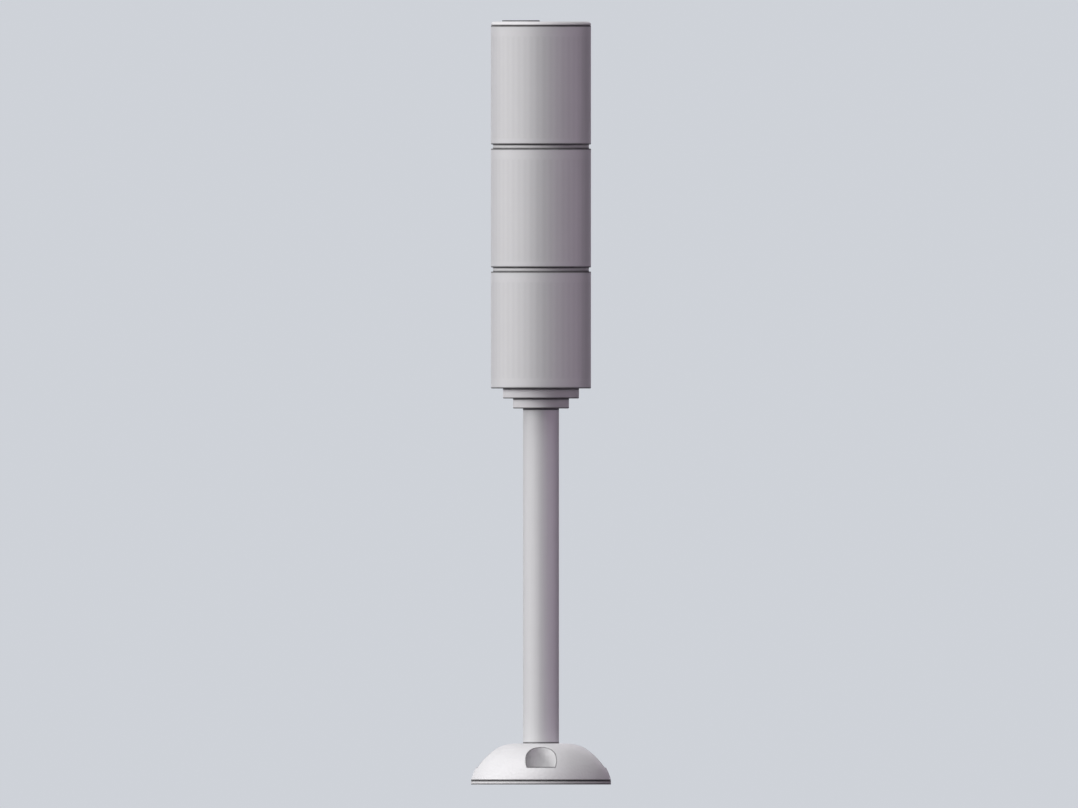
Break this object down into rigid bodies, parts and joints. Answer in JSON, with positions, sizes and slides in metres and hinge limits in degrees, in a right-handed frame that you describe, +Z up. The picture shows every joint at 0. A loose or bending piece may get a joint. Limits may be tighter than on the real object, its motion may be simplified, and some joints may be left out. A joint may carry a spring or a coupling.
{
  "type": "stack light",
  "caption": "Signal tower for a machine: stacked translucent lens drums that twist off one another, on a stepped neck, a hollow pole and a domed foot with recessed screw pockets.",
  "frame": {"origin": "centre of the foot gasket's underside, on the surface that the light is screwed to", "axes": "+Z up along the pole, -Y to the front, +X to the right seen from the front"},
  "size_m": [0.07, 0.07, 0.3821],
  "materials": {
    "lens": "frosted polycarbonate, satin outside",
    "housing": "fine moulded texture",
    "insulator": "matt moulded",
    "seal": "matt",
    "contact": "plated, satin",
    "circuit_board": "solder resist",
    "emitter": "clear cast",
    "pole": "satin anodised, drawn",
    "base": "powder coated casting",
    "gasket": "matt",
    "steel": "zinc plated"
  },
  "bodies": {
    "stand": {"base_gasket": "gasket", "base_dome": "base", "lock_nut": "steel", "lock_washer": "steel", "pole": "pole", "neck_housing": "housing", "grub_screw": "steel", "neck_contact_plate": "circuit_board", "neck_contact_pads": "contact"},
    "lower_tier": {"lower_lens": "lens", "lower_carrier": "housing", "lower_seal": "seal", "lower_contact_block": "insulator", "lower_contact_pins": "contact", "lower_driver_board": "circuit_board", "lower_led_boards": "circuit_board", "lower_leds": "emitter", "lower_lock_ring": "housing", "lower_contact_plate": "circuit_board", "lower_contact_pads": "contact"},
    "middle_tier": {"middle_lens": "lens", "middle_carrier": "housing", "middle_seal": "seal", "middle_contact_block": "insulator", "middle_contact_pins": "contact", "middle_driver_board": "circuit_board", "middle_led_boards": "circuit_board", "middle_leds": "emitter", "middle_lock_ring": "housing", "middle_contact_plate": "circuit_board", "middle_contact_pads": "contact"},
    "upper_tier": {"upper_lens": "lens", "upper_carrier": "housing", "upper_seal": "seal", "upper_contact_block": "insulator", "upper_contact_pins": "contact", "upper_driver_board": "circuit_board", "upper_led_boards": "circuit_board", "upper_leds": "emitter", "upper_lock_ring": "housing", "upper_contact_plate": "circuit_board", "upper_contact_pads": "contact"},
    "cap": {"top_cap": "housing", "cap_seal": "seal"}
  },
  "joints": [
    {"name": "lower_tier_twist", "type": "hinge", "parent": "stand", "child": "lower_tier", "pos_m": [0, 0, 0.198], "axis": [0, 0, 1], "range_deg": [0, 30]},
    {"name": "middle_tier_twist", "type": "hinge", "parent": "lower_tier", "child": "middle_tier", "pos_m": [0, 0, 0.2565], "axis": [0, 0, 1], "range_deg": [0, 30]},
    {"name": "upper_tier_twist", "type": "hinge", "parent": "middle_tier", "child": "upper_tier", "pos_m": [0, 0, 0.318], "axis": [0, 0, 1], "range_deg": [0, 30]},
    {"name": "cap_twist", "type": "hinge", "parent": "upper_tier", "child": "cap", "pos_m": [0, 0, 0.3795], "axis": [0, 0, 1], "range_deg": [0, 30]}
  ]
}
